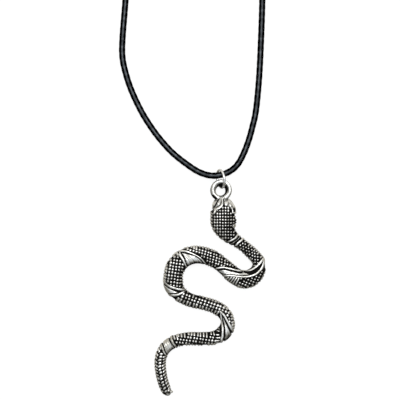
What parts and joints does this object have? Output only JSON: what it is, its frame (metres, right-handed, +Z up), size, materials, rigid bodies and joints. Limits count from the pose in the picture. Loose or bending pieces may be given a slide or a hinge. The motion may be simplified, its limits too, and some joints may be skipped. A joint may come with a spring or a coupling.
{
  "type": "snake pendant necklace",
  "caption": "Necklace with a flat-backed cast snake pendant, hung by a ring on a black waxed neck cord with a plain barrel clasp.",
  "frame": {"origin": "on the surface that the necklace lies on, under the middle of the pendant and its jump ring", "axes": "+Z up out of the surface, +Y from the snake's tail towards the clasp, +X to the right as seen from above"},
  "size_m": [0.0475, 0.2609, 0.0061],
  "materials": {
    "antique_silver": "cast, polished on the high places and blackened in the hollows",
    "plated_wire": "bright plated",
    "waxed_cord": "waxed, faint sheen",
    "clasp_steel": "satin"
  },
  "bodies": {
    "root": {"pendant": "antique_silver", "jump_ring": "plated_wire", "cord": "waxed_cord", "clasp": "clasp_steel"}
  },
  "joints": []
}
